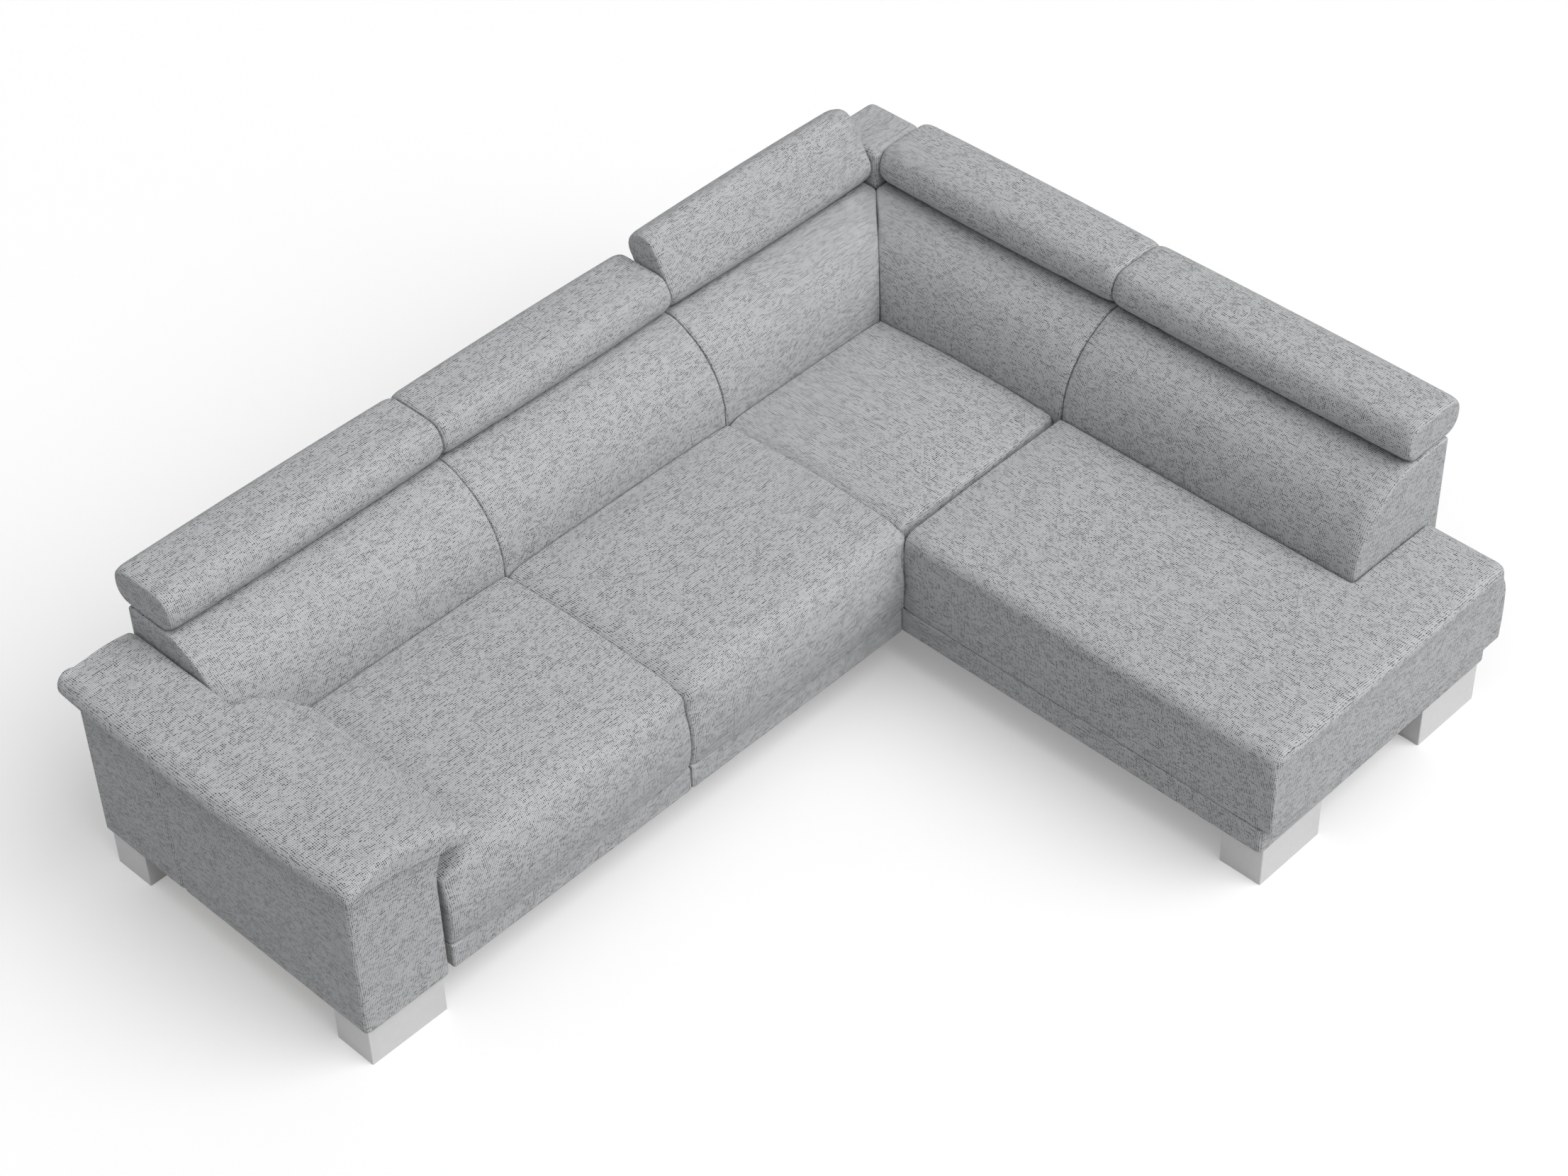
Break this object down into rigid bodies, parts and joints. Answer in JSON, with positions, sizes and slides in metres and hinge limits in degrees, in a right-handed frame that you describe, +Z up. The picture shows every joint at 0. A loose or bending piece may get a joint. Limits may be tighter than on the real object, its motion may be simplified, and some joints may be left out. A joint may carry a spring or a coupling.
{
  "type": "corner sofa",
  "caption": "Fabric corner sofa with a padded armrest, an open-ended wing, silver block feet and ratchet headrests that tilt up from the backs.",
  "frame": {"origin": "on the floor under the middle of the sofa's bounding box", "axes": "+X from the armrest along the long side to the corner, +Y from the seats' front to the rear of the long side, +Z up"},
  "size_m": [2.778, 2.15, 0.8835],
  "materials": {
    "fabric": "chunky flat weave",
    "timber": "planed softwood",
    "steel": "zinc plated",
    "webbing": "elastic webbing",
    "silver": "silver lacquer",
    "dust_cloth": "thin black cloth",
    "black_plastic": "moulded"
  },
  "bodies": {
    "sofa": {"seat_1_cushion": "fabric", "seat_2_cushion": "fabric", "corner_seat_cushion": "fabric", "wing_seat_cushion": "fabric", "base_panel_1": "fabric", "base_panel_2": "fabric", "wing_plinth": "fabric", "corner_block": "fabric", "arm_body": "fabric", "arm_pad": "fabric", "back_1_cushion": "fabric", "back_2_cushion": "fabric", "back_3_cushion": "fabric", "back_4_cushion": "fabric", "back_5_cushion": "fabric", "long_base_frame": "timber", "corner_base_frame": "timber", "long_back_frame": "timber", "corner_back_frame": "timber", "wing_back_frame": "timber", "arm_frame": "timber", "headrest_1_brackets": "steel", "headrest_2_brackets": "steel", "headrest_3_brackets": "steel", "headrest_4_brackets": "steel", "headrest_5_brackets": "steel", "hinge_pins": "steel", "foot_bolts": "steel", "arm_bolts": "steel", "link_plates": "steel", "seat_1_webbing": "webbing", "seat_2_webbing": "webbing", "corner_seat_webbing": "webbing", "wing_seat_webbing": "webbing", "foot_arm_front": "silver", "foot_arm_rear": "silver", "foot_wing_inner": "silver", "foot_wing_outer": "silver", "foot_corner_rear": "silver", "long_dust_cover": "dust_cloth", "corner_dust_cover": "dust_cloth", "support_legs": "black_plastic"},
    "headrest_1": {"headrest_1_pad": "fabric", "headrest_1_board": "timber", "headrest_1_arms": "steel"},
    "headrest_2": {"headrest_2_pad": "fabric", "headrest_2_board": "timber", "headrest_2_arms": "steel"},
    "headrest_3": {"headrest_3_pad": "fabric", "headrest_3_board": "timber", "headrest_3_arms": "steel"},
    "headrest_4": {"headrest_4_pad": "fabric", "headrest_4_board": "timber", "headrest_4_arms": "steel"},
    "headrest_5": {"headrest_5_pad": "fabric", "headrest_5_board": "timber", "headrest_5_arms": "steel"}
  },
  "joints": [
    {"name": "headrest_1_tilt", "type": "hinge", "parent": "sofa", "child": "headrest_1", "pos_m": [-0.74775, 0.922, 0.74], "axis": [1, 0, 0], "range_deg": [0, 72]},
    {"name": "headrest_2_tilt", "type": "hinge", "parent": "sofa", "child": "headrest_2", "pos_m": [0.051, 0.922, 0.74], "axis": [1, 0, 0], "range_deg": [0, 72]},
    {"name": "headrest_3_tilt", "type": "hinge", "parent": "sofa", "child": "headrest_3", "pos_m": [0.80225, 0.922, 0.74], "axis": [1, 0, 0], "range_deg": [-60, 12]},
    {"name": "headrest_4_tilt", "type": "hinge", "parent": "sofa", "child": "headrest_4", "pos_m": [1.236, 0.46425, 0.74], "axis": [0, -1, 0], "range_deg": [0, 72]},
    {"name": "headrest_5_tilt", "type": "hinge", "parent": "sofa", "child": "headrest_5", "pos_m": [1.236, -0.38475, 0.74], "axis": [0, -1, 0], "range_deg": [0, 72]}
  ]
}
